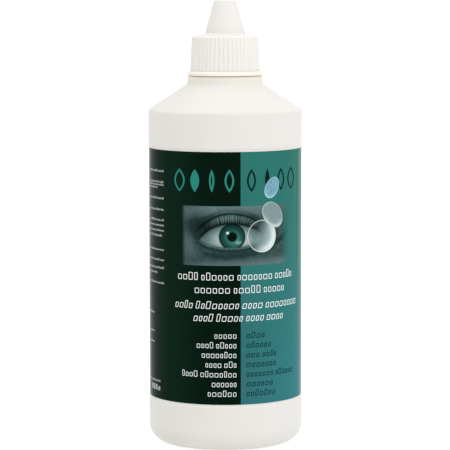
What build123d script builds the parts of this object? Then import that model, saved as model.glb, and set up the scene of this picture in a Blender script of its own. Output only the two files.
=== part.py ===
from build123d import *
import os
from math import sqrt

# Contact lens solution bottle: a round squeeze bottle with a recessed label panel, a dropper
# insert pressed into its neck, and a ribbed screw cap whose cone covers the dropper tip.
# Millimetres, +Z up, origin at the centre of the ring that the bottle stands on.

# --- Bottle body ---------------------------------------------------------------------------
BODY_R = 34.2
WALL = 0.8
BASE_CORNER_R = 8.5
RING_WIDTH = 1.9
PUNT_HEIGHT = 3.4
SHOULDER_Z = 148.6
SHOULDER_EDGE_R = 1.4
SHOULDER_SLOPE = 0.653

RING_INNER_R = BODY_R - BASE_CORNER_R - RING_WIDTH
PUNT_EDGE = 3.0
PUNT_EDGE_HEIGHT = 1.2

# --- Label panel and label -----------------------------------------------------------------
LABEL_LOW = 21.4
LABEL_HIGH = 131.9
PANEL_MARGIN = 0.8
PANEL_DEPTH = 0.3
PANEL_STEP = 0.6
PANEL_R = BODY_R - PANEL_DEPTH
PANEL_LOW = LABEL_LOW - PANEL_MARGIN
PANEL_HIGH = LABEL_HIGH + PANEL_MARGIN
LABEL_THICKNESS = 0.1
LABEL_GLUE = 0.02
LABEL_GAP = 6.0
LABEL_CORNER_R = 2.5

# --- Collar and neck finish ----------------------------------------------------------------
COLLAR_R = 16.7
COLLAR_TOP = 163.0
COLLAR_FILLET_R = 3.0
STEP_R = 16.4
STEP_TOP = 163.6
NECK_BASE_R = 12.45
BEAD_R = 13.4
BEAD_LOW = 166.2
BEAD_HIGH = 168.2
NECK_R = 11.9
NECK_BORE_R = 9.95
NECK_TOP = 178.6

# --- Screw thread, right-handed, six turns to the inch -------------------------------------
LEAD = 25.4 / 6
THREAD_TURNS = 1.5
THREAD_DEPTH = 1.0
THREAD_LOW = 170.2
THREAD_CLEARANCE = 0.15
THREAD_ROOT = 0.25
NECK_THREAD_WIDTHS = (2.4, 0.9)
CAP_THREAD_WIDTHS = (1.8, 0.7)

# --- Dropper insert ------------------------------------------------------------------------
PLUG_LENGTH = 6.6
PLUG_WALL = 1.0
FLANGE_R = 11.3
FLANGE_THICKNESS = 1.2
NOZZLE_BASE_R = 6.4
NOZZLE_TIP_R = 2.3
NOZZLE_TOP = 193.3
NOZZLE_WALL = 1.0
ORIFICE_R = 0.75
ORIFICE_LENGTH = 3.0

# --- Tamper band ---------------------------------------------------------------------------
BAND_R = 17.0
BAND_LOW = 163.8
BAND_EDGE_Z = 165.2
BAND_TOP = 165.75
BAND_WALL_R = 15.0
BAND_CROWN_R = 15.7
BAND_LIP_R = 12.75
BAND_LIP_THICKNESS = 0.85
BRIDGE_COUNT = 12
BRIDGE_R = 13.35
BRIDGE_LENGTH = 0.6
BRIDGE_WIDTH = 0.5
BRIDGE_HEIGHT = 0.2
BRIDGE_SUNK = 0.1

# --- Cap -----------------------------------------------------------------------------------
SKIRT_LOW = 165.8
SKIRT_LOW_R = 15.2
SKIRT_HIGH = 181.0
SKIRT_HIGH_R = 14.45
RIB_COUNT = 48
RIB_R = 0.6
RIB_HEIGHT = 0.35
RIB_CLEARANCE = 0.4
RIB_TOP_EDGE_R = 2.0
DECK_HIGH = 182.3
CONE_R = 8.95
CAP_TOP = 197.0
CONE_TOP_R = 4.85
CONE_EDGE_R = 0.9
CAP_BORE_R = 13.2
CAP_MOUTH_R = 13.85
CAP_MOUTH_DEPTH = 2.05
CAP_BORE_TOP = 180.1
CAP_WALL = 1.2
SEAL_PIN_R = 0.6
SEAL_PIN_LENGTH = 2.6

# --- Solution ------------------------------------------------------------------------------
FILL_LEVEL = 148.8
FILL_GAP = 0.1


def turned_profile(points, radii):
    """Half section for a revolve: the rounded outline, closed along the axis."""
    with BuildSketch(Plane.XZ) as section:
        with BuildLine():
            FilletPolyline(*points, radius=radii)
            Line(points[-1], points[0])
        make_face()
    return section.sketch


def ring_profile(points, radii):
    """Closed section for a revolve that doesn't reach the axis, a radius for each point."""
    with BuildSketch(Plane.XZ) as section:
        with BuildLine():
            FilletPolyline(*points, radius=radii, close=True)
        make_face()
    return section.sketch


def cavity_profile(gap, top):
    """Half section of the bottle's inside up to a level, drawn in from the walls by a gap."""
    side_r = PANEL_R - WALL - gap
    floor = WALL + gap
    shoulder_z = SHOULDER_Z - 2 * WALL - gap
    outline = [
        (0, PUNT_HEIGHT + floor),
        (RING_INNER_R - PUNT_EDGE, PUNT_EDGE_HEIGHT + floor),
        (RING_INNER_R, floor),
        (side_r, floor),
        (side_r, shoulder_z),
    ]
    corners = [3.0, 3.0, BASE_CORNER_R - WALL, 1.0]
    throat_r = NECK_BORE_R - gap
    throat_z = shoulder_z + (side_r - throat_r) * SHOULDER_SLOPE
    if top > throat_z:
        outline += [(throat_r, throat_z), (throat_r, top), (0, top)]
        corners += [2.0, 0]
    else:
        outline += [(side_r - (top - shoulder_z) / SHOULDER_SLOPE, top), (0, top)]
        corners += [0]
    return turned_profile(outline, corners)


def thread_ridge(root_r, depth, widths, low):
    """Helical ridge with a trapezoid section, sunk a little into the wall that it stands on.

    Depth is outward, so an internal thread's is negative. Widths are at the sunk root and the crest.
    """
    root_width, crest_width = widths
    sunk = -THREAD_ROOT if depth > 0 else THREAD_ROOT
    with BuildPart() as ridge:
        with BuildLine() as path:
            Helix(LEAD, LEAD * THREAD_TURNS, root_r, center=(0, 0, low))
        with BuildSketch(Plane((root_r, 0, low), x_dir=(1, 0, 0), z_dir=path.line % 0)):
            with BuildLine():
                Polyline(
                    (sunk, -root_width / 2),
                    (depth, -crest_width / 2),
                    (depth, crest_width / 2),
                    (sunk, root_width / 2),
                    close=True,
                )
            make_face()
        sweep(path=path.line, is_frenet=True)
    return ridge.part


def ribbed_section(z, root_r):
    """Section of the cap's skirt: a round with evenly spaced half-round ribs."""
    with BuildSketch(Plane.XY.offset(z)) as section:
        Circle(root_r)
        with PolarLocations(root_r + RIB_HEIGHT - RIB_R, RIB_COUNT):
            Circle(RIB_R)
    return section.sketch


def finish(piece, name):
    """Label a finished piece and write it out."""
    piece.label = name
    export_step(piece, f"parts/{name}.step")


os.makedirs("parts", exist_ok=True)

# --- Bottle --------------------------------------------------------------------------------
collar_foot = SHOULDER_Z + (BODY_R - COLLAR_R) * SHOULDER_SLOPE

bottle_outline = [
    (0, PUNT_HEIGHT),
    (RING_INNER_R - PUNT_EDGE, PUNT_EDGE_HEIGHT),
    (RING_INNER_R, 0),
    (BODY_R, 0),
    (BODY_R, SHOULDER_Z),
    (COLLAR_R, collar_foot),
    (COLLAR_R, COLLAR_TOP),
    (STEP_R, COLLAR_TOP),
    (STEP_R, STEP_TOP),
    (NECK_BASE_R, STEP_TOP),
    (NECK_BASE_R, BEAD_LOW),
    (BEAD_R, BEAD_LOW + 0.3),
    (BEAD_R, BEAD_LOW + 0.8),
    (NECK_R, BEAD_HIGH),
    (NECK_R, NECK_TOP),
    (0, NECK_TOP),
]
body_corners = [3.0, 0.5, BASE_CORNER_R, SHOULDER_EDGE_R]
neck_corners = [COLLAR_FILLET_R, 0.15, 0.1, 0.15, 0.2, 0, 0.1, 0.2, 0.3, 0.3]

panel_outline = [
    (PANEL_R, PANEL_LOW),
    (PANEL_R, PANEL_HIGH),
    (PANEL_R + 2 * PANEL_DEPTH, PANEL_HIGH + 2 * PANEL_STEP),
    (PANEL_R + 2 * PANEL_DEPTH, PANEL_LOW - 2 * PANEL_STEP),
]

with BuildPart() as bottle:
    revolve(turned_profile(bottle_outline, body_corners + neck_corners), axis=Axis.Z)
    revolve(ring_profile(panel_outline, [0, 0, 0, 0]), axis=Axis.Z, mode=Mode.SUBTRACT)
    add(thread_ridge(NECK_R, THREAD_DEPTH, NECK_THREAD_WIDTHS, THREAD_LOW))
    revolve(cavity_profile(0, NECK_TOP), axis=Axis.Z, mode=Mode.SUBTRACT)
finish(bottle.part, "bottle")

# --- Dropper insert ------------------------------------------------------------------------
plug_low = NECK_TOP - PLUG_LENGTH
plug_inner_r = NECK_BORE_R - PLUG_WALL
flange_top = NECK_TOP + FLANGE_THICKNESS
nozzle_outline = [
    (plug_inner_r, plug_low),
    (NECK_BORE_R, plug_low),
    (NECK_BORE_R, NECK_TOP),
    (FLANGE_R, NECK_TOP),
    (FLANGE_R, flange_top),
    (NOZZLE_BASE_R, flange_top),
    (NOZZLE_TIP_R, NOZZLE_TOP),
    (ORIFICE_R, NOZZLE_TOP),
    (ORIFICE_R, NOZZLE_TOP - ORIFICE_LENGTH),
    (NOZZLE_BASE_R - NOZZLE_WALL, flange_top),
    (NOZZLE_BASE_R - NOZZLE_WALL, NECK_TOP),
    (plug_inner_r, NECK_TOP - PLUG_WALL),
]
nozzle_corners = [0, 0.6, 0, 0.3, 0.3, 1.2, 0.8, 0.15, 0.15, 1.0, 0.2, 0.8]

with BuildPart() as dropper_insert:
    revolve(ring_profile(nozzle_outline, nozzle_corners), axis=Axis.Z)
finish(dropper_insert.part, "dropper_insert")

# --- Tamper band ---------------------------------------------------------------------------
band_outline = [
    (BAND_WALL_R, BAND_LOW),
    (BAND_R, BAND_LOW),
    (BAND_R, BAND_EDGE_Z),
    (BAND_CROWN_R, BAND_TOP),
    (BAND_LIP_R, BAND_TOP),
    (BAND_LIP_R, BAND_TOP - BAND_LIP_THICKNESS),
    (BAND_WALL_R, BAND_TOP - BAND_LIP_THICKNESS),
]
band_corners = [0.2, 0.25, 0.3, 0.2, 0.15, 0.15, 0.2]

with BuildPart() as tamper_band:
    revolve(ring_profile(band_outline, band_corners), axis=Axis.Z)
    with BuildSketch(Plane.XY.offset(BAND_TOP - BRIDGE_SUNK)):
        with PolarLocations(BRIDGE_R, BRIDGE_COUNT):
            Rectangle(BRIDGE_LENGTH, BRIDGE_WIDTH)
    extrude(amount=BRIDGE_SUNK + BRIDGE_HEIGHT)
finish(tamper_band.part, "tamper_band")

# --- Cap -----------------------------------------------------------------------------------
skirt_slope = (SKIRT_HIGH_R - SKIRT_LOW_R) / (SKIRT_HIGH - SKIRT_LOW)
loft_high = DECK_HIGH + 1
loft_high_r = SKIRT_LOW_R + skirt_slope * (loft_high - SKIRT_LOW)
trim_r = RIB_HEIGHT + RIB_CLEARANCE
skirt_outline = [
    (0, SKIRT_LOW - 1),
    (SKIRT_LOW_R + trim_r, SKIRT_LOW - 1),
    (SKIRT_HIGH_R + trim_r, SKIRT_HIGH - 0.2),
    (CONE_R, DECK_HIGH),
    (0, DECK_HIGH),
]
cone_outline = [
    (0, SKIRT_HIGH - 1),
    (CONE_R + 2.4, SKIRT_HIGH - 1),
    (CONE_R + 2.4, DECK_HIGH - 0.6),
    (CONE_R, DECK_HIGH),
    (CONE_TOP_R, CAP_TOP),
    (0, CAP_TOP),
]
cone_slope = (CONE_TOP_R - CONE_R) / (CAP_TOP - DECK_HIGH)
cone_inner_top = CAP_TOP - 2 * CAP_WALL
cone_wall_shift = CAP_WALL * sqrt(1 + cone_slope**2)
cap_hollow = [
    (0, cone_inner_top),
    (CONE_R + cone_slope * (cone_inner_top - DECK_HIGH) - cone_wall_shift, cone_inner_top),
    (CONE_R + cone_slope * (CAP_BORE_TOP - DECK_HIGH) - cone_wall_shift, CAP_BORE_TOP),
    (CAP_BORE_R, CAP_BORE_TOP),
    (CAP_BORE_R, SKIRT_LOW + CAP_MOUTH_DEPTH),
    (CAP_MOUTH_R, SKIRT_LOW + CAP_MOUTH_DEPTH - 0.4),
    (CAP_MOUTH_R, SKIRT_LOW - 1),
    (0, SKIRT_LOW - 1),
]

# The cap's thread runs under the neck's, its upper flank a small clearance below.
thread_flank = (NECK_THREAD_WIDTHS[0] - NECK_THREAD_WIDTHS[1]) / 2 / (THREAD_DEPTH + THREAD_ROOT)
thread_reach = CAP_BORE_R - THREAD_DEPTH - (NECK_R - THREAD_ROOT)
neck_half_width = NECK_THREAD_WIDTHS[0] / 2 - thread_flank * thread_reach
cap_thread_low = THREAD_LOW - neck_half_width - CAP_THREAD_WIDTHS[1] / 2 - THREAD_CLEARANCE

with BuildPart() as cap:
    loft([ribbed_section(SKIRT_LOW, SKIRT_LOW_R), ribbed_section(loft_high, loft_high_r)], ruled=True)
    revolve(turned_profile(skirt_outline, [0, RIB_TOP_EDGE_R, 0]), axis=Axis.Z, mode=Mode.INTERSECT)
    revolve(turned_profile(cone_outline, [0, 0, 0.5, CONE_EDGE_R]), axis=Axis.Z)
    revolve(turned_profile(cap_hollow, [0.8, 0.5, 0.5, 0, 0, 0]), axis=Axis.Z, mode=Mode.SUBTRACT)
    add(thread_ridge(CAP_BORE_R, -THREAD_DEPTH, CAP_THREAD_WIDTHS, cap_thread_low))
    with BuildSketch(Plane.XY.offset(cone_inner_top - SEAL_PIN_LENGTH)):
        Circle(SEAL_PIN_R)
    extrude(amount=SEAL_PIN_LENGTH + CAP_WALL)
finish(cap.part, "cap")

# --- Label ---------------------------------------------------------------------------------
label_height = LABEL_HIGH - LABEL_LOW
label_middle = (LABEL_LOW + LABEL_HIGH) / 2
label_inner_r = PANEL_R + LABEL_GLUE
with BuildPart() as label:
    with BuildSketch(Plane.XY.offset(LABEL_LOW)):
        Circle(label_inner_r + LABEL_THICKNESS)
        Circle(label_inner_r, mode=Mode.SUBTRACT)
    extrude(amount=label_height)
    with BuildSketch(Plane.XZ.offset(-PANEL_R + 5)):
        with Locations((0, label_middle)):
            Rectangle(LABEL_GAP + 4 * LABEL_CORNER_R, label_height + 2)
        for side in (-1, 1):
            with Locations((side * (PANEL_R + LABEL_GAP / 2), label_middle)):
                RectangleRounded(2 * PANEL_R, label_height, LABEL_CORNER_R, mode=Mode.SUBTRACT)
    extrude(amount=-10, mode=Mode.SUBTRACT)
finish(label.part, "label")

# --- Solution ------------------------------------------------------------------------------
with BuildPart() as solution:
    revolve(cavity_profile(FILL_GAP, FILL_LEVEL), axis=Axis.Z)
finish(solution.part, "solution")
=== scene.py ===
"""Looks of a contact lens solution bottle, built round its CAD frame.

Blender's lengths are in metres. Print is laid out on the label in millimetres: u runs round the
label from the middle of its front, to the right as seen from outside, and z runs up from the
surface that the bottle stands on.
"""
import math
import random

import bpy
import numpy as np
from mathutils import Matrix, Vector


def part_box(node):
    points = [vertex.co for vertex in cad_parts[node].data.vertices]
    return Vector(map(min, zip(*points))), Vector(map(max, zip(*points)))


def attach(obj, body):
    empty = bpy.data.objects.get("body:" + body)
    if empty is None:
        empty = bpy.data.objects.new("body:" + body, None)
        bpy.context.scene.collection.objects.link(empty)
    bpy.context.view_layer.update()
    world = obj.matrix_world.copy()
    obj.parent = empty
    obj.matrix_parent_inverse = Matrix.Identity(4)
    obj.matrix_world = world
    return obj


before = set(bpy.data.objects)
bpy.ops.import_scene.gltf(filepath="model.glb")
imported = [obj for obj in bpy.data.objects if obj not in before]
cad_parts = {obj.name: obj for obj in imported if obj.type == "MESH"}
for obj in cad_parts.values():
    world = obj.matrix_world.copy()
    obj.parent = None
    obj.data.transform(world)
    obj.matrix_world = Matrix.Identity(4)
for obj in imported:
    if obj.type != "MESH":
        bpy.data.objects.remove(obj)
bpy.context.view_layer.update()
MM = 0.001

# --- Sizes read from the frame --------------------------------------------------------------------
label_low, label_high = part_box("label")
LABEL_R = label_high.x / MM
LABEL_LOW = label_low.z / MM
LABEL_HIGH = label_high.z / MM

# --- Label layout, in millimetres round the label and up ------------------------------------------
SPLIT_U = 6.7
FOLD_U = 40.6
FOLD_HALF = 0.28
FOLD_FADE = (0.4, 0.6)
PICTURE_U = (-20.4, 33.6)
PICTURE_Z = (82.5, 108.5)
PICTURE_CELL = 0.16
MARK_Z = (114.4, 124.4)
MARK_STROKE = 0.85
MARK_MIDDLE = (MARK_Z[0] + MARK_Z[1]) / 2
MARK_HALF = (MARK_Z[1] - MARK_Z[0]) / 2
MARK_BLUNTING = 1.6
ARC_STEPS = 14
DISC_SIDES = 96
COLUMN_TOP = 121.5
COLUMN_PITCH = 2.4

# Heights of the print's blocks and widths of their strokes
HEADLINE_SIZE = 2.3
HEADLINE_STROKE = 0.27
LIST_SIZE = 1.85
LIST_STROKE_WHITE = 0.23
LIST_STROKE_DARK = 0.36
SMALL_SIZE = 0.72
SLANT = 0.2

# Shares of a line's block height
BLOCK_WIDTHS = (0.60, 0.68, 0.76, 0.84)
BLOCK_HEIGHTS = (1.0, 1.0, 1.0, 1.0, 1.45)
BLOCK_GAP = 0.34
BLOCK_CORNER = 0.14
WORD_LENGTHS = (3.6, 9.0)
WORD_GAP = 0.42
SHORTEST_LINE = 0.5
SHORTEST_WORD = 2.6
SHORTEST_BLOCK = 0.4

# Levels over the film's face, so that no two prints share a surface
PRINT_SUNK = -0.02
PICTURE_LIFT = 0.03
INK_LIFT = 0.03
DISC_LIFT = 0.06
TOP_DISC_LIFT = 0.08

# --- Colours, linear ------------------------------------------------------------------------------
DARK = (0.0003, 0.0056, 0.0022)
# Painted sheen: the dark film turns lighter towards the left, between these two places round the label
DARK_PAINTED_SHEEN = (0.0016, 0.0118, 0.0062)
DARK_SHEEN_TURN = (-8.0, -22.0)
TEAL_HIGH = (0.021, 0.138, 0.113)
TEAL_LOW = (0.026, 0.122, 0.138)
TEAL_LOW_SIDE = (0.027, 0.158, 0.172)
TEAL_TURN = (8.0, 34.0)
INK_WHITE = (0.80, 0.83, 0.81)
INK_LIST = (0.74, 0.78, 0.76)
INK_SIDE = (0.31, 0.345, 0.32)
INK_TEAL = (0.020, 0.190, 0.150)
INK_DEEP = (0.001, 0.014, 0.013)
INK_BLUE = (0.003, 0.032, 0.042)
INK_BLACK = (0.006, 0.006, 0.006)
FILM_MOTTLE = (0.015, 0.06, 0.05)
LASH_DARK = (0.0008, 0.003, 0.0022)
GLINT_LIGHT = (0.62, 0.74, 0.72)

# --- Surface detail: sizes and depths in metres ---------------------------------------------------
UNIT = (0.0, 1.0)
NOISE_SPAN = (0.3, 0.7)
CLOUD_SPAN = (0.35, 0.65)
CLOUD_SIZE = 0.018
GLOSS_PATCH = 0.004
SKIN_DEPTH = 0.000012
PARTING_HALF = (0.00004, 0.00022)
PARTING_HEIGHT = 0.00006
STREAK_SIZE = 0.0016
STREAK_STRETCH = (1.0, 1.0, 0.02)
STREAK_DEPTH = 0.000010
VARNISH_GLOSS = (0.05, 0.09)
VARNISH_PATCH = 0.003
RIPPLE_SIZE = 0.014
RIPPLE_DEPTH = 0.000012
VARNISH_GRAIN = 0.0004
VARNISH_GRAIN_DEPTH = 0.0000008
MOTTLE_SIZE = 0.0007
MOTTLE_SHARE = (0.0, 0.04)
INK_PATCH = 0.0006
INK_LOSS = (0.0, 0.14)
PRINT_GRAIN = 0.00025
PRINT_GRAIN_SHARE = (0.0, 0.10)

# --- Stage and camera -----------------------------------------------------------------------------
FLOOR_HALF = 25.0
FLOOR_SUNK = 0.00002
FLOOR_TONES = ((0.330, 0.330, 0.330), (0.322, 0.323, 0.324))
FLOOR_PATCH = 0.4
FLOOR_GLOW = 0.75
TENT_LEFT = (0.84, 0.83, 0.785)
TENT_COLOUR = (1.03, 1.03, 1.03)
TENT_TURN = (-0.9, 0.0)
CAMERA_LENS = 197.8
CAMERA_SENSOR = 36.0
CAMERA_PLACE = (0.00005, -1.0986, 0.2094)
CAMERA_RISE = 84.15
CAMERA_ROLL = 0.10
CAMERA_REACH = 100.0


# --- Node helpers ---------------------------------------------------------------------------------
def new_material(name):
    """A material with its node tree and its Principled shader."""
    material = bpy.data.materials.new(name)
    material.use_nodes = True
    tree = material.node_tree
    return material, tree, tree.nodes["Principled BSDF"]


def feed(tree, value, socket):
    """Link a socket to an output, or set it to a plain value."""
    if isinstance(value, bpy.types.NodeSocket):
        tree.links.new(value, socket)
    else:
        socket.default_value = value


def calc(tree, operation, *values):
    """Output of a Math node."""
    node = tree.nodes.new("ShaderNodeMath")
    node.operation = operation
    for value, socket in zip(values, node.inputs):
        feed(tree, value, socket)
    return node.outputs[0]


def remap(tree, value, source, target, soft=False):
    """Output of a Map Range node from one (low, high) pair to another, with soft ends if asked."""
    node = tree.nodes.new("ShaderNodeMapRange")
    node.interpolation_type = "SMOOTHSTEP" if soft else "LINEAR"
    for socket, given in zip(node.inputs, (value, *source, *target)):
        feed(tree, given, socket)
    return node.outputs[0]


def blend_colour(tree, factor, first, second):
    """Output of a colour Mix node."""
    node = tree.nodes.new("ShaderNodeMix")
    node.data_type = "RGBA"
    feed(tree, factor, node.inputs["Factor"])
    for name, colour in (("A", first), ("B", second)):
        socket = [s for s in node.inputs if s.name == name and s.type == "RGBA"][0]
        feed(tree, colour if isinstance(colour, bpy.types.NodeSocket) else (*colour, 1.0), socket)
    return [s for s in node.outputs if s.type == "RGBA"][0]


def place(tree, stretch=(1.0, 1.0, 1.0)):
    """The piece's own coordinates, in metres, stretched for streaks."""
    coordinates = tree.nodes.new("ShaderNodeTexCoord")
    mapping = tree.nodes.new("ShaderNodeMapping")
    mapping.inputs["Scale"].default_value = stretch
    tree.links.new(coordinates.outputs["Object"], mapping.inputs["Vector"])
    return mapping.outputs["Vector"]


def split_place(tree):
    """The outputs X, Y and Z of the piece's own coordinates."""
    node = tree.nodes.new("ShaderNodeSeparateXYZ")
    tree.links.new(place(tree), node.inputs[0])
    return node.outputs


def noise(tree, size, detail=3.0, stretch=(1.0, 1.0, 1.0)):
    """Noise with features of about that size in metres."""
    node = tree.nodes.new("ShaderNodeTexNoise")
    node.inputs["Scale"].default_value = 1.0 / size
    node.inputs["Detail"].default_value = detail
    tree.links.new(place(tree, stretch), node.inputs["Vector"])
    return node.outputs[0]


def spread_noise(tree, size, target, detail=3.0):
    """Noise spread over a (low, high) pair."""
    return remap(tree, noise(tree, size, detail), NOISE_SPAN, target)


def bump(tree, height, distance, under=None):
    """Normal of a Bump node at full strength, laid over another one where given."""
    node = tree.nodes.new("ShaderNodeBump")
    node.inputs["Strength"].default_value = 1.0
    node.inputs["Distance"].default_value = distance
    feed(tree, height, node.inputs["Height"])
    if under is not None:
        tree.links.new(under, node.inputs["Normal"])
    return node.outputs[0]


# --- Materials ------------------------------------------------------------------------------------
def moulded_plastic(name, shade, cool_shade, gloss, grain_size, upper=None, parting=False):
    """Satin white plastic: cloudy tone, fine moulded skin and, on the bottle, its mould's parting line.

    Upper is (low, high, shade): a painted tone that the piece turns to between two heights and keeps
    above them: painted light on the bottle's neck, lighter and creamier, and painted shade on the cap's
    cone.
    """
    material, tree, shader = new_material(name)
    axes = split_place(tree)
    cloud = remap(tree, noise(tree, CLOUD_SIZE, detail=2.0), CLOUD_SPAN, UNIT, soft=True)
    tone = blend_colour(tree, cloud, shade, cool_shade)
    # Painted light and shade: from the given heights up, the bottle's neck turns lighter and the cap's
    # cone darker
    if upper:
        low, high, painted_tone = upper
        rise = remap(tree, axes["Z"], (low, high), UNIT, soft=True)
        tone = blend_colour(tree, rise, tone, painted_tone)
    feed(tree, tone, shader.inputs["Base Color"])
    feed(tree, spread_noise(tree, GLOSS_PATCH, gloss), shader.inputs["Roughness"])
    surface = bump(tree, noise(tree, grain_size, detail=4.0), SKIN_DEPTH)
    if parting:
        off_line = calc(tree, "ABSOLUTE", axes["Y"])
        ridge = remap(tree, off_line, PARTING_HALF, (1.0, 0.0), soft=True)
        surface = bump(tree, ridge, PARTING_HEIGHT, under=surface)
        streaks = noise(tree, STREAK_SIZE, detail=2.0, stretch=STREAK_STRETCH)
        surface = bump(tree, streaks, STREAK_DEPTH, under=surface)
    tree.links.new(surface, shader.inputs["Normal"])
    shader.inputs["IOR"].default_value = 1.5
    shader.inputs["Specular IOR Level"].default_value = 0.15
    shader.inputs["Subsurface Weight"].default_value = 0.12
    shader.inputs["Subsurface Radius"].default_value = (1.0, 0.9, 0.8)
    shader.inputs["Subsurface Scale"].default_value = 0.0012
    return material


def clear_solution(name):
    """Watery liquid with a faint cool cast."""
    material, tree, shader = new_material(name)
    haze = spread_noise(tree, 0.02, UNIT, detail=2.0)
    cast = blend_colour(tree, haze, (0.93, 0.97, 0.98), (0.90, 0.96, 0.98))
    feed(tree, cast, shader.inputs["Base Color"])
    feed(tree, spread_noise(tree, 0.01, (0.01, 0.03)), shader.inputs["Roughness"])
    ripple = bump(tree, noise(tree, 0.012, detail=1.0), 0.00001)
    tree.links.new(ripple, shader.inputs["Normal"])
    shader.inputs["IOR"].default_value = 1.34
    shader.inputs["Transmission Weight"].default_value = 1.0
    return material


def varnish(tree, shader):
    """The label's clear varnish: a low, even sheen with a slight ripple and a fine grain."""
    feed(tree, spread_noise(tree, VARNISH_PATCH, VARNISH_GLOSS), shader.inputs["Roughness"])
    ripple = bump(tree, noise(tree, RIPPLE_SIZE, detail=1.0), RIPPLE_DEPTH)
    fine = noise(tree, VARNISH_GRAIN, detail=2.0)
    surface = bump(tree, fine, VARNISH_GRAIN_DEPTH, under=ripple)
    tree.links.new(surface, shader.inputs["Normal"])
    shader.inputs["IOR"].default_value = 1.08


def label_film(name):
    """Printed film: near-black green to the left of the split, teal to its right, one fine fold line."""
    material, tree, shader = new_material(name)
    axes = split_place(tree)
    front = calc(tree, "MULTIPLY", axes["Y"], -1.0)
    turn = calc(tree, "ARCTAN2", axes["X"], front)
    u = calc(tree, "MULTIPLY", turn, LABEL_R)
    height = remap(tree, axes["Z"], (LABEL_LOW * MM, LABEL_HIGH * MM), UNIT)
    low = blend_colour(tree, remap(tree, u, TEAL_TURN, UNIT), TEAL_LOW, TEAL_LOW_SIDE)
    teal = blend_colour(tree, height, low, TEAL_HIGH)
    off_fold = calc(tree, "ABSOLUTE", calc(tree, "SUBTRACT", u, FOLD_U))
    fold = remap(tree, off_fold, (FOLD_HALF, 2 * FOLD_HALF), (0.5, 0.0), soft=True)
    fold = calc(tree, "MULTIPLY", fold, remap(tree, height, FOLD_FADE, UNIT, soft=True))
    teal = blend_colour(tree, fold, teal, INK_DEEP)
    # Painted sheen: the dark half turns lighter towards its left
    dark = blend_colour(tree, remap(tree, u, DARK_SHEEN_TURN, UNIT), DARK, DARK_PAINTED_SHEEN)
    film = blend_colour(tree, calc(tree, "GREATER_THAN", u, SPLIT_U), dark, teal)
    mottle = spread_noise(tree, MOTTLE_SIZE, MOTTLE_SHARE, detail=4.0)
    feed(tree, blend_colour(tree, mottle, film, FILM_MOTTLE), shader.inputs["Base Color"])
    varnish(tree, shader)
    return material


def ink(name, colour):
    """Flat printed ink under the label's varnish, a little uneven in its cover."""
    material, tree, shader = new_material(name)
    loss = spread_noise(tree, INK_PATCH, INK_LOSS, detail=4.0)
    thin = tuple(0.8 * channel for channel in colour)
    feed(tree, blend_colour(tree, loss, colour, thin), shader.inputs["Base Color"])
    varnish(tree, shader)
    return material


def picture_ink(name):
    """Process-printed picture: colours painted on the mesh, with a fine print grain."""
    material, tree, shader = new_material(name)
    painted = tree.nodes.new("ShaderNodeAttribute")
    painted.attribute_name = "Ink"
    specks = spread_noise(tree, PRINT_GRAIN, PRINT_GRAIN_SHARE)
    colour = blend_colour(tree, specks, painted.outputs["Color"], DARK)
    feed(tree, colour, shader.inputs["Base Color"])
    varnish(tree, shader)
    return material


# --- Print on the label ---------------------------------------------------------------------------
class Print:
    """Thin closed patches that follow the label's round face, joined into one piece."""

    def __init__(self, lift):
        self.lift = lift
        self.layout = []
        self.points = []
        self.faces = []

    def add_layer(self, outline, lift):
        """Vertices of one loop or grid row, and the number of the first."""
        first = len(self.points)
        r = (LABEL_R + lift) * MM
        for u, z in outline:
            turn = u / LABEL_R
            self.layout.append((u, z))
            self.points.append((r * math.sin(turn), -r * math.cos(turn), z * MM))
        return first

    def add_loops(self, loops, filled=True):
        """A patch from loops of equal length, the outermost first, each counter-clockwise."""
        count = len(loops[0])
        tops = [self.add_layer(loop, self.lift) for loop in loops]
        floors = [self.add_layer(loop, PRINT_SUNK) for loop in loops]
        steps = [(i, (i + 1) % count) for i in range(count)]
        for outer, inner in zip(tops, tops[1:]):
            self.faces += [(outer + i, outer + j, inner + j, inner + i) for i, j in steps]
        for outer, inner in zip(floors, floors[1:]):
            self.faces += [(outer + i, inner + i, inner + j, outer + j) for i, j in steps]
        self.faces += [(floors[0] + i, floors[0] + j, tops[0] + j, tops[0] + i) for i, j in steps]
        if filled:
            self.faces.append([tops[-1] + i for i in range(count)])
            self.faces.append([floors[-1] + i for i in reversed(range(count))])
        else:
            floor, top = floors[-1], tops[-1]
            self.faces += [(floor + j, floor + i, top + i, top + j) for i, j in steps]

    def add_grid(self, us, zs):
        """A patch from a full grid, fine enough to carry a painted picture."""
        wide, high = len(us), len(zs)
        top = len(self.points)
        for z in zs:
            self.add_layer([(u, z) for u in us], self.lift)
        floor = len(self.points)
        for z in zs:
            self.add_layer([(u, z) for u in us], PRINT_SUNK)
        for row in range(high - 1):
            for column in range(wide - 1):
                a = row * wide + column
                quad = (a, a + 1, a + wide + 1, a + wide)
                self.faces.append([top + i for i in quad])
                self.faces.append([floor + i for i in reversed(quad)])
        bottom_row = list(range(wide))
        right_column = [row * wide + wide - 1 for row in range(high)]
        top_row = [(high - 1) * wide + i for i in reversed(range(wide))]
        left_column = [row * wide for row in reversed(range(high))]
        for edge in (bottom_row, right_column, top_row, left_column):
            for a, b in zip(edge, edge[1:]):
                self.faces.append((floor + a, floor + b, top + b, top + a))

    def make(self, name, material, painter=None):
        """Turn the patches into a piece that rides on the bottle, coloured by the painter if given."""
        mesh = bpy.data.meshes.new(name)
        mesh.from_pydata(self.points, [], self.faces)
        mesh.validate()
        if painter is not None:
            layout = np.array(self.layout)
            colours = np.ones((len(layout), 4), np.float32)
            colours[:, :3] = painter(layout[:, 0], layout[:, 1])
            attribute = mesh.attributes.new("Ink", "FLOAT_COLOR", "POINT")
            attribute.data.foreach_set("color", colours.ravel())
        mesh.materials.append(material)
        piece = bpy.data.objects.new(name, mesh)
        bpy.context.scene.collection.objects.link(piece)
        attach(piece, "bottle")


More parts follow.
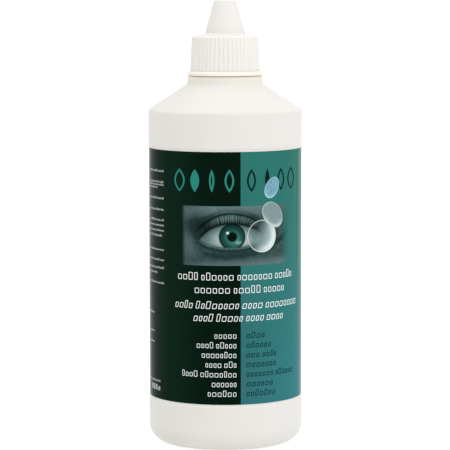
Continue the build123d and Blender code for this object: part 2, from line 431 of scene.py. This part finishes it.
def rounded_block(low_u, high_u, low_z, high_z, slant=0.0, corner=0.12, inset=0.0):
    """Outline of a block with rounded corners, leaning to the right by slant, or of one inset in it."""
    middle_z = (low_z + high_z) / 2
    low_u, low_z, high_u, high_z = low_u + inset, low_z + inset, high_u - inset, high_z - inset
    centres = [
        (high_u - corner, low_z + corner, -90),
        (high_u - corner, high_z - corner, 0),
        (low_u + corner, high_z - corner, 90),
        (low_u + corner, low_z + corner, 180),
    ]
    outline = []
    for u, z, start in centres:
        for angle in (start, start + 45, start + 90):
            turn = math.radians(angle)
            point_z = z + corner * math.sin(turn)
            outline.append((u + corner * math.cos(turn) + slant * (point_z - middle_z), point_z))
    return outline


def ellipse(centre, long_r, short_r, tilt):
    """Outline of a tilted ellipse."""
    outline = []
    for i in range(DISC_SIDES):
        turn = 2 * math.pi * i / DISC_SIDES
        along, across = long_r * math.cos(turn), short_r * math.sin(turn)
        u = centre[0] + along * math.cos(tilt) - across * math.sin(tilt)
        z = centre[1] + along * math.sin(tilt) + across * math.cos(tilt)
        outline.append((u, z))
    return outline


def pointed_oval(middle_u, low_z, high_z, width):
    """Outline of a lens seen in profile: two arcs that meet in points at the top and bottom."""
    half = (high_z - low_z) / 2
    middle_z = (low_z + high_z) / 2
    right = []
    for i in range(ARC_STEPS + 1):
        rise = -half + 2 * half * i / ARC_STEPS
        right.append((width / 2 * (1 - (rise / half) ** 2), middle_z + rise))
    outline = [(middle_u + u, z) for u, z in right]
    return outline + [(middle_u - u, z) for u, z in reversed(right[1:-1])]


def block_line(draw, piece, start, end, base, size, slant=0.0, stroke=0.0):
    """A line of print as words of plain blocks, a few of them tall, open in the middle if stroked."""
    spans = []
    u = start
    while u < end - SHORTEST_LINE * size:
        word_end = u + draw.uniform(*WORD_LENGTHS) * size
        if end - word_end < SHORTEST_WORD * size:
            word_end = end
        while u < word_end - SHORTEST_BLOCK * size:
            width = draw.choice(BLOCK_WIDTHS) * size
            spans.append((u, u + width, size * draw.choice(BLOCK_HEIGHTS)))
            u += width + BLOCK_GAP * size
        u += WORD_GAP * size
    corner = BLOCK_CORNER * size
    fit = (end - start) / (spans[-1][1] - start)
    for low, high, height in spans:
        low, high = start + (low - start) * fit, start + (high - start) * fit
        loops = [rounded_block(low, high, base, base + height, slant, corner)]
        if stroke:
            inner_corner = 0.3 * corner
            loops.append(rounded_block(low, high, base, base + height, slant, inner_corner, stroke))
        piece.add_loops(loops, filled=not stroke)


# --- Colours of the picture, worked out at any point of the label ---------------------------------
def smooth(low, high, value):
    """Smooth step from 0 at low to 1 at high."""
    t = np.clip((value - low) / (high - low), 0, 1)
    return t * t * (3 - 2 * t)


def between(value, ends, first, second):
    """Colours blended from the first to the second as the value goes between two ends."""
    share = np.clip((value - ends[0]) / (ends[1] - ends[0]), 0, 1)[:, None]
    return np.array(first) * (1 - share) + np.array(second) * share


def film_colour(u, z):
    """The label's own ink at points of it, with painted sheen lightening the dark half towards its left.
    """
    low = between(u, TEAL_TURN, TEAL_LOW, TEAL_LOW_SIDE)
    teal = between(z, (LABEL_LOW, LABEL_HIGH), low, TEAL_HIGH)
    return np.where((u > SPLIT_U)[:, None], teal, between(u, DARK_SHEEN_TURN, DARK, DARK_PAINTED_SHEEN))


def hump(distance, width):
    """Bell curve: 1 where the distance is 0, fading over the width."""
    return np.exp(-((distance / width) ** 2))


def grain(x, y, cell, seed):
    """Smooth random values from -1 to 1 with features of about one cell."""
    table = np.random.default_rng(seed).uniform(-1, 1, (64, 64))
    column, row = x / cell + 500, y / cell + 500
    i, j = np.floor(column).astype(int), np.floor(row).astype(int)
    s, t = smooth(0, 1, column - i), smooth(0, 1, row - j)
    near = table[i % 64, j % 64] * (1 - s) + table[(i + 1) % 64, j % 64] * s
    far = table[i % 64, (j + 1) % 64] * (1 - s) + table[(i + 1) % 64, (j + 1) % 64] * s
    return near * (1 - t) + far * t


def tint(level):
    """Green-grey duotone for a level from 0, black, to 1, white."""
    stops = (0.0, 0.3, 0.6, 1.0)
    ramp = ((0.001, 0.015, 0.120, 0.78), (0.004, 0.038, 0.190, 0.84), (0.003, 0.036, 0.186, 0.83))
    return np.stack([np.interp(level, stops, channel) for channel in ramp], axis=1)


# The eye's own x and y run from its centre, in millimetres, along and across its tilt
EYE_CENTRE = (3.0, 94.6)
EYE_TILT = math.radians(3.0)
EYE_HALF = 15.0
IRIS_Y = 0.5
IRIS_R = 5.85
PUPIL_R = 2.0
UPPER_LASHES = (-11.5, 14.4, 52)
LOWER_LASHES = (-9.0, 13.4, 34)


def lid_edge(x, peak_x, height, fullness):
    """Height of a lid's edge over the line between the eye's corners, highest at peak_x."""
    reach = np.where(x < peak_x, EYE_HALF + peak_x, EYE_HALF - peak_x)
    return height * np.clip(1 - np.abs((x - peak_x) / reach) ** fullness, 0, 1) ** 0.85


def upper_lid(x):
    """The upper lid's edge, fullest a little towards the inner corner."""
    return lid_edge(x, -1.5, 6.3, 2.0)


def lower_lid(x):
    """The lower lid's edge, fullest a little towards the outer corner."""
    return lid_edge(x, 2.0, -4.3, 2.3)


def lash_shade(x, y, draw):
    """Darkness of the lashes: curved, tapering strokes that fan out from both lids."""
    shade = np.zeros_like(x)
    upper = [(root, 1, 0.26) for root in np.linspace(*UPPER_LASHES)]
    lower = [(root, -1, 0.13) for root in np.linspace(*LOWER_LASHES)]
    for root, side, width in upper + lower:
        root += draw.uniform(-0.25, 0.25)
        lean = 0.10 + root / EYE_HALF * 0.85 + draw.uniform(-0.14, 0.14)
        reach = draw.uniform(3.4, 5.2) if side > 0 else draw.uniform(1.4, 2.4)
        lid = float(upper_lid(root) if side > 0 else lower_lid(root) - 0.3)
        near = (np.abs(x - root) < reach + 1) & (np.abs(y - lid) < reach + 1)
        best = np.full(near.sum(), 9.0)
        previous = (root, lid)
        steps = 7
        for i in range(1, steps + 1):
            t = i / steps
            bend = lean * (0.35 + 0.95 * t)
            point = (
                previous[0] + reach / steps * math.sin(bend),
                previous[1] + side * reach / steps * math.cos(bend),
            )
            run = np.array(point) - previous
            from_x, from_y = x[near] - previous[0], y[near] - previous[1]
            along = np.clip((from_x * run[0] + from_y * run[1]) / (run @ run), 0, 1)
            gap = np.hypot(from_x - along * run[0], from_y - along * run[1])
            best = np.minimum(best, gap / (width * (1.1 - t)))
            previous = point
        shade[near] = np.maximum(shade[near], 1 - smooth(0.5, 1.4, best))
    return shade


def skin_level(x, y, top, bottom):
    """Brightness of the skin round the eye."""
    # The brow's bone, the hollow and the bridge of the nose on the left, the outer corner's shade
    skin = 0.35 + 0.19 * hump(y - 13.0, 4.5) * (1 - 0.25 * (x / 20) ** 2)
    skin -= 0.22 * np.exp(-(((x + 14.5) / 5.5) ** 2) - ((y - 5.0) / 6.0) ** 2)
    skin += 0.16 * np.exp(-(((x + 20) / 4) ** 2) - ((y + 1) / 7) ** 2)
    skin -= 0.13 * np.exp(-(((x - 17.0) / 3.2) ** 2) - ((y + 0.5) / 3.2) ** 2)
    # The upper lid's light and its fold
    fade = smooth(17.5, 11.0, np.abs(x))
    skin += 0.15 * hump(y - top - 1.9, 1.1) * hump(x + 1, 8.5)
    fold = y - top - 3.7 - 0.5 * np.cos(x / 9)
    skin -= (0.30 * hump(fold, 0.42) + 0.12 * hump(fold - 1.3, 1.4)) * fade
    # The lower lid's rim and shade, the crease under it and the cheek
    skin += 0.17 * hump(y - bottom + 0.5, 0.36) * fade
    skin -= 0.10 * hump(y - bottom + 1.5, 0.7) * fade
    skin -= 0.11 * hump(y + 8.0 - 0.010 * x**2, 1.2) * smooth(-17, -6, x)
    skin += 0.16 * smooth(-8.5, -13.0, y)
    return skin + 0.020 * grain(x, y, 0.45, 1) + 0.020 * grain(x, y, 1.3, 2)


def iris_level(x, y, top):
    """Brightness of the iris and its pupil: radial fibres, a dark rim and the lid's shadow."""
    r, spoke = np.hypot(x, y - IRIS_Y), np.arctan2(y - IRIS_Y, x)
    waves = ((23, 0.3), (37, 1.9), (61, 4.0), (89, 2.2))
    fibres = sum(np.sin(n * spoke + p + 0.5 * np.sin(1.3 * r)) for n, p in waves) / 4
    iris = 0.30 + 0.10 * fibres + 0.12 * hump(r - 2.8, 0.7) + 0.10 * hump(spoke + 0.9, 0.9)
    iris *= 1 - 0.80 * smooth(IRIS_R - 1.3, IRIS_R - 0.2, r)
    iris *= 1 - 0.65 * np.exp(-np.clip(top - y, 0, 9) / 1.8)
    return iris * smooth(PUPIL_R - 0.2, PUPIL_R + 0.25, r)


def eye_colour(u, z):
    """A generic eye on textbook proportions: 30 mm between corners, an 11.7 mm iris, a 4 mm pupil."""
    du, dz = u - EYE_CENTRE[0], z - EYE_CENTRE[1]
    x = du * math.cos(EYE_TILT) + dz * math.sin(EYE_TILT)
    y = dz * math.cos(EYE_TILT) - du * math.sin(EYE_TILT)
    top, bottom = upper_lid(x), lower_lid(x)

    white = 0.76 - 0.30 * np.abs(x / EYE_HALF) ** 2.2 + 0.012 * grain(x, y, 0.8, 3)
    white *= 1 - 0.62 * np.exp(-np.clip(top - y, 0, 9) / 1.7)
    white *= 1 - 0.25 * np.exp(-np.clip(y - bottom, 0, 9) / 0.6)
    white += 0.10 * np.exp(-(((x + 13.4) / 1.0) ** 2) - ((y - 0.1) / 0.8) ** 2)
    in_iris = smooth(IRIS_R + 0.22, IRIS_R - 0.22, np.hypot(x, y - IRIS_Y))[:, None]
    iris = tint(np.clip(iris_level(x, y, top), 0, 1)) * np.array((0.45, 1.20, 1.02))
    ball = tint(white) * (1 - in_iris) + iris * in_iris
    bright = 0.9 * smooth(0.95, 0.45, np.hypot((x + 1.9) / 0.9, (y - 2.3) / 0.8))
    faint = 0.22 * smooth(1.3, 0.4, np.hypot((x - 2.6) / 1.5, (y + 2.2) / 0.8))
    glint = np.maximum(bright, faint)[:, None]
    ball = ball * (1 - glint) + np.array(GLINT_LIGHT) * glint

    between_lids = smooth(-0.12, 0.18, top - y) * smooth(-0.12, 0.18, y - bottom)
    opening = (between_lids * (np.abs(x) < EYE_HALF))[:, None]
    colour = tint(np.clip(skin_level(x, y, top, bottom), 0, 1)) * (1 - opening) + ball * opening
    lash_line = hump(y - top - 0.1, 0.50) * smooth(15.4, 13.6, np.abs(x))
    dark = np.maximum(0.95 * lash_line, 0.92 * lash_shade(x, y, random.Random(11)))[:, None]
    return colour * (1 - dark) + np.array(LASH_DARK) * dark


def picture_colour(u, z):
    """The picture panel: dark and soft at its left edge, running out into the teal at its right."""
    left, right = PICTURE_U
    colour = eye_colour(u, z) * (0.75 + 0.25 * smooth(left, left + 16.0, u))[:, None]
    left_edge = smooth(left, left + 2.6, u)[:, None]
    colour = film_colour(np.full_like(u, left), z) * (1 - left_edge) + colour * left_edge
    run_out = smooth(right - 7.5, right - 0.4, u)[:, None]
    return colour * (1 - run_out) + film_colour(u, z) * run_out


def label_picture_colour(u, z):
    """What the label shows at points of it, with or without the picture."""
    in_width = (u > PICTURE_U[0]) & (u < PICTURE_U[1])
    in_height = (z > PICTURE_Z[0]) & (z < PICTURE_Z[1])
    return np.where((in_width & in_height)[:, None], picture_colour(u, z), film_colour(u, z))


def lens_painter(centre, long_r, short_r, tilt, body, veil, rim, mottle, lit, crescent):
    """Colours of a printed contact lens: the label seen through it, veiled more and more towards its
    lit side, with a crescent of light there and a bright rim."""

    def paint(u, z):
        du, dz = u - centre[0], z - centre[1]
        along = (du * math.cos(tilt) + dz * math.sin(tilt)) / long_r
        across = (dz * math.cos(tilt) - du * math.sin(tilt)) / short_r
        r = np.hypot(along, across)
        toward_light = (du * math.cos(lit) + dz * math.sin(lit)) / long_r
        bend = 0.90 + 0.10 * r
        under = 0.9 * label_picture_colour(centre[0] + du * bend, centre[1] + dz * bend)
        cover = veil[0] + (veil[1] - veil[0]) * smooth(-0.7, 0.7, toward_light)
        cover = np.clip(cover * (1 + mottle * grain(du, dz, 0.7, 4)), 0, 1)[:, None]
        shade = (1 + mottle * grain(du, dz, 0.45, 5))[:, None]
        colour = under * (1 - cover) + np.array(body) * shade * cover
        strength, width = crescent
        glow = (strength * hump(r - 1 + width, width) * smooth(-0.1, 0.8, toward_light))[:, None]
        colour = colour * (1 - glow) + np.array(rim) * glow
        edge = (hump(r - 0.965, 0.030) * (0.62 + 0.33 * smooth(-0.8, 0.8, toward_light)))[:, None]
        return colour * (1 - edge) + np.array(rim) * edge

    return paint


# --- Printed pieces -------------------------------------------------------------------------------
def print_marks():
    """The row of marks: a lens turning edge-on and back, two of them solid."""
    widths = (5.6, 4.2, 2.4, 4.2, 4.2, 2.4, 4.2, 5.6)
    solid = (1, 5)
    middles = (-21.3, -13.6, -5.9, 1.8, 11.6, 19.3, 27.0, 34.2)
    teal_marks, deep_marks = Print(INK_LIFT), Print(INK_LIFT)
    for i, (middle, width) in enumerate(zip(middles, widths)):
        piece = teal_marks if middle < SPLIT_U else deep_marks
        if i in solid:
            halves = [(share, share * MARK_HALF) for share in (1.0, 0.75, 0.5, 0.25, 0.06)]
            piece.add_loops([
                pointed_oval(middle, MARK_MIDDLE - half, MARK_MIDDLE + half, share * width)
                for share, half in halves
            ])
        else:
            inset = MARK_STROKE * 2 * MARK_HALF / width / MARK_BLUNTING
            outer = pointed_oval(middle, *MARK_Z, width)
            inner = pointed_oval(middle, MARK_Z[0] + inset, MARK_Z[1] - inset, width - 2 * MARK_STROKE)
            piece.add_loops([outer, inner], filled=False)
    teal_marks.make("mark_row_dark_half", ink("ink_teal", INK_TEAL))
    deep_marks.make("mark_row_teal_half", ink("ink_deep", INK_DEEP))


def print_picture():
    """The picture panel as one painted grid."""
    us = np.arange(PICTURE_U[0], PICTURE_U[1] + PICTURE_CELL / 2, PICTURE_CELL)
    zs = np.arange(PICTURE_Z[0], PICTURE_Z[1] + PICTURE_CELL / 2, PICTURE_CELL)
    panel = Print(PICTURE_LIFT)
    panel.add_grid(us, zs)
    panel.make("picture_panel", picture_ink("picture_ink"), picture_colour)


def print_lens(name, lift, centre, long_r, short_r, tilt, **looks):
    """A printed contact lens as one painted disc."""
    shares = np.linspace(1.0, 0.03, 40)
    piece = Print(lift)
    piece.add_loops([ellipse(centre, long_r * s, short_r * s, tilt) for s in shares])
    painter = lens_painter(centre, long_r, short_r, tilt, **looks)
    piece.make(name, picture_ink(name + "_ink"), painter)


def print_lenses():
    """Three contact lenses that fall past the picture: one tinted blue, two clear."""
    print_lens(
        "clear_lens_low", DISC_LIFT, centre=(16.7, 95.1), long_r=7.15, short_r=7.15, tilt=0.0,
        body=(0.37, 0.52, 0.52), veil=(0.02, 0.72), rim=(0.66, 0.70, 0.70), mottle=0.06,
        lit=math.radians(-25), crescent=(0.85, 0.20),
    )
    print_lens(
        "clear_lens_high", TOP_DISC_LIFT, centre=(22.3, 104.2), long_r=6.45, short_r=4.75,
        tilt=math.radians(-46),
        body=(0.210, 0.285, 0.29), veil=(0.76, 0.92), rim=(0.50, 0.59, 0.58), mottle=0.07,
        lit=math.radians(-105), crescent=(0.80, 0.13),
    )
    print_lens(
        "blue_lens", TOP_DISC_LIFT, centre=(21.8, 116.0), long_r=5.0, short_r=3.5,
        tilt=math.radians(57),
        body=(0.160, 0.330, 0.415), veil=(0.88, 0.96), rim=(0.33, 0.60, 0.64), mottle=0.20,
        lit=math.radians(-120), crescent=(0.55, 0.10),
    )


def print_headlines():
    """The two pairs of large white lines under the picture, the second pair slanted."""
    draw = random.Random(21)
    piece = Print(INK_LIFT)
    for start, end, base, slant in (
        (-22.1, 34.5, 76.1, 0.0),
        (-13.7, 28.8, 70.4, 0.0),
        (-23.6, 38.5, 63.6, SLANT),
        (-14.2, 28.1, 58.1, SLANT),
    ):
        block_line(draw, piece, start, end, base, HEADLINE_SIZE, slant, HEADLINE_STROKE)
    piece.make("headline_print", ink("ink_white", INK_WHITE))


def print_lists():
    """Rows of list print on each side of the split: white to its left, dark and slanted to its right."""
    draw = random.Random(31)
    first_z, pitch = 50.6, 4.26
    left_end, right_start = 4.7, 9.3
    left_starts = (-4.8, -12.8, -10.5, -8.8, -20.0, -6.0, -7.8)
    right_ends = (17.8, 21.2, 24.1, 23.9, 35.6, 22.2, 23.6)
    left, right = Print(INK_LIFT), Print(INK_LIFT)
    for row, (left_start, right_end) in enumerate(zip(left_starts, right_ends)):
        base = first_z - row * pitch
        block_line(draw, left, left_start, left_end, base, LIST_SIZE, stroke=LIST_STROKE_WHITE)
        block_line(draw, right, right_start, right_end, base, LIST_SIZE, SLANT, LIST_STROKE_DARK)
    left.make("list_print_white", ink("ink_list_white", INK_LIST))
    right.make("list_print_dark", ink("ink_list_dark", INK_BLUE))


def print_column(draw, piece, start, end, ragged, rows, paragraph):
    """A column of small print with a ragged right edge, each paragraph's last row left empty."""
    for row in range(rows):
        if row % paragraph != paragraph - 1:
            row_end = end - draw.uniform(0.0, ragged)
            block_line(draw, piece, start, row_end, COLUMN_TOP - row * COLUMN_PITCH, SMALL_SIZE)


def print_side_text():
    """Small print on the left and back of the dark half, with the larger volume blocks at its foot."""
    draw = random.Random(41)
    piece = Print(INK_LIFT)
    start, end, short_end = -66.0, -31.2, -40.2
    paragraphs = (
        (122.2, 1, 1.3), (117.4, 3, 1.25), (110.2, 1, 1.3), (105.2, 1, 1.3), (100.6, 4, 2.3),
        (87.5, 1, 1.3), (83.0, 1, 1.3), (79.5, 2, 2.3), (72.8, 1, 1.3),
    )
    for top, rows, pitch in paragraphs:
        for row in range(rows):
            last = row == rows - 1 and rows > 1
            row_end = end - draw.uniform(1.0, 6.0) if last else end
            block_line(draw, piece, start, row_end, top - row * pitch, SMALL_SIZE)
    for base in (59.1, 50.9, 46.1):
        block_line(draw, piece, start, short_end, base, SMALL_SIZE)
    block_line(draw, piece, start=-47.0, end=-34.4, base=28.9, size=0.75)
    volume_base, volume_top, unit_top = 25.1, 27.6, 26.9
    for block_start in (-43.6, -41.2, -38.8):
        piece.add_loops([rounded_block(block_start, block_start + 1.7, volume_base, volume_top)])
    piece.add_loops([rounded_block(-36.2, -34.6, volume_base, unit_top)])
    print_column(draw, piece, start=-99.0, end=-71.0, ragged=4.0, rows=34, paragraph=7)
    piece.make("side_print", ink("ink_side", INK_SIDE))


def print_back_text():
    """Small print and a bar pattern on the back of the teal half."""
    draw = random.Random(51)
    piece = Print(INK_LIFT)
    print_column(draw, piece, start=58.0, end=96.0, ragged=5.0, rows=26, paragraph=6)
    piece.make("back_print", ink("ink_back", INK_DEEP))
    plate = Print(INK_LIFT)
    plate.add_grid(np.linspace(64.0, 92.0, 29), np.linspace(28.0, 46.0, 3))
    plate.make("bar_plate", ink("ink_plate", INK_WHITE))
    bars = Print(DISC_LIFT)
    u, last_u = 66.0, 89.5
    while u < last_u:
        width = draw.choice((0.33, 0.33, 0.66, 0.99))
        bars.add_loops([rounded_block(u, u + width, 30.0, 44.0)])
        u += width + draw.choice((0.33, 0.66, 0.66, 0.99))
    bars.make("bar_pattern", ink("ink_bars", INK_BLACK))


# --- CAD nodes' materials -------------------------------------------------------------------------
def dress_nodes():
    """Give each CAD node its own material."""
    looks = {
        "bottle": moulded_plastic(
            "bottle_plastic", shade=(0.634, 0.610, 0.577), cool_shade=(0.626, 0.610, 0.584),
            # upper: painted light, the neck turns lighter and creamier from the collar up where the
            # tamper band shades it
            gloss=(0.36, 0.46), grain_size=0.0012, upper=(0.1600, 0.1632, (0.710, 0.668, 0.580)),
            parting=True,
        ),
        "cap": moulded_plastic(
            "cap_plastic", shade=(0.704, 0.678, 0.645), cool_shade=(0.696, 0.678, 0.652),
            # upper: painted shade, the cap's cone turns darker above its base
            gloss=(0.32, 0.42), grain_size=0.0006, upper=(0.1803, 0.1815, (0.656, 0.638, 0.610)),
        ),
        "tamper_band": moulded_plastic(
            "band_plastic", shade=(0.765, 0.725, 0.640), cool_shade=(0.760, 0.725, 0.650),
            gloss=(0.32, 0.42), grain_size=0.0006,
        ),
        "dropper_insert": moulded_plastic(
            "insert_plastic", shade=(0.76, 0.76, 0.735), cool_shade=(0.74, 0.75, 0.735),
            gloss=(0.28, 0.38), grain_size=0.0008,
        ),
        "label": label_film("label_film"),
        "solution": clear_solution("solution"),
    }
    for name, material in looks.items():
        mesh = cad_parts[name].data
        mesh.materials.clear()
        mesh.materials.append(material)


# --- Stage ----------------------------------------------------------------------------------------
def make_floor():
    """A wide plain white floor, lit from below like a light table."""
    corners = [(-1, -1), (1, -1), (1, 1), (-1, 1)]
    mesh = bpy.data.meshes.new("floor")
    points = [(FLOOR_HALF * x, FLOOR_HALF * y, -FLOOR_SUNK) for x, y in corners]
    mesh.from_pydata(points, [], [(0, 1, 2, 3)])
    material, tree, shader = new_material("floor_white")
    tone = spread_noise(tree, FLOOR_PATCH, UNIT, detail=2.0)
    feed(tree, blend_colour(tree, tone, *FLOOR_TONES), shader.inputs["Base Color"])
    shader.inputs["Roughness"].default_value = 0.9
    shader.inputs["Specular IOR Level"].default_value = 0.1
    shader.inputs["Emission Color"].default_value = (1.0, 1.0, 1.0, 1.0)
    shader.inputs["Emission Strength"].default_value = FLOOR_GLOW
    mesh.materials.append(material)
    floor = bpy.data.objects.new("floor", mesh)
    bpy.context.scene.collection.objects.link(floor)


def add_sun(name, strength, colour, softness, azimuth, elevation):
    """A soft distant light from an azimuth (0 is the front, 90 the right) and an elevation."""
    lamp = bpy.data.lights.new(name, "SUN")
    lamp.energy = strength
    lamp.color = colour
    lamp.angle = math.radians(softness)
    light = bpy.data.objects.new(name, lamp)
    turn, rise = math.radians(azimuth), math.radians(elevation)
    flat = math.cos(rise)
    source = Vector((math.sin(turn) * flat, -math.cos(turn) * flat, math.sin(rise)))
    light.rotation_euler = source.to_track_quat("Z", "Y").to_euler()
    bpy.context.scene.collection.objects.link(light)


def light_stage():
    """A bright white tent, dimmer and warmer on its left, with a soft key and a soft top light."""
    world = bpy.data.worlds.new("tent")
    world.use_nodes = True
    tree = world.node_tree
    background = tree.nodes["Background"]
    axes = tree.nodes.new("ShaderNodeSeparateXYZ")
    tree.links.new(tree.nodes.new("ShaderNodeTexCoord").outputs["Generated"], axes.inputs[0])
    from_left = remap(tree, axes.outputs["X"], TENT_TURN, UNIT, soft=True)
    feed(tree, blend_colour(tree, from_left, TENT_LEFT, TENT_COLOUR), background.inputs["Color"])
    background.inputs["Strength"].default_value = 1.0
    bpy.context.scene.world = world
    add_sun("key_right", 0.72, (1.0, 1.0, 1.0), softness=50.0, azimuth=50.0, elevation=28.0)
    add_sun("top", 1.18, (0.94, 0.975, 1.0), softness=70.0, azimuth=-60.0, elevation=72.0)


def place_camera():
    """The photograph's view: a long lens, a little above the bottle's middle."""
    data = bpy.data.cameras.new("camera")
    data.lens = CAMERA_LENS
    data.sensor_width = CAMERA_SENSOR
    data.clip_end = CAMERA_REACH
    camera = bpy.data.objects.new("camera", data)
    camera.location = CAMERA_PLACE
    camera.rotation_euler = (math.radians(CAMERA_RISE), math.radians(CAMERA_ROLL), 0.0)
    bpy.context.scene.collection.objects.link(camera)
    bpy.context.scene.camera = camera
    bpy.context.scene.view_settings.view_transform = "Standard"


place_camera()
make_floor()
light_stage()
dress_nodes()
print_marks()
print_picture()
print_lenses()
print_headlines()
print_lists()
print_side_text()
print_back_text()
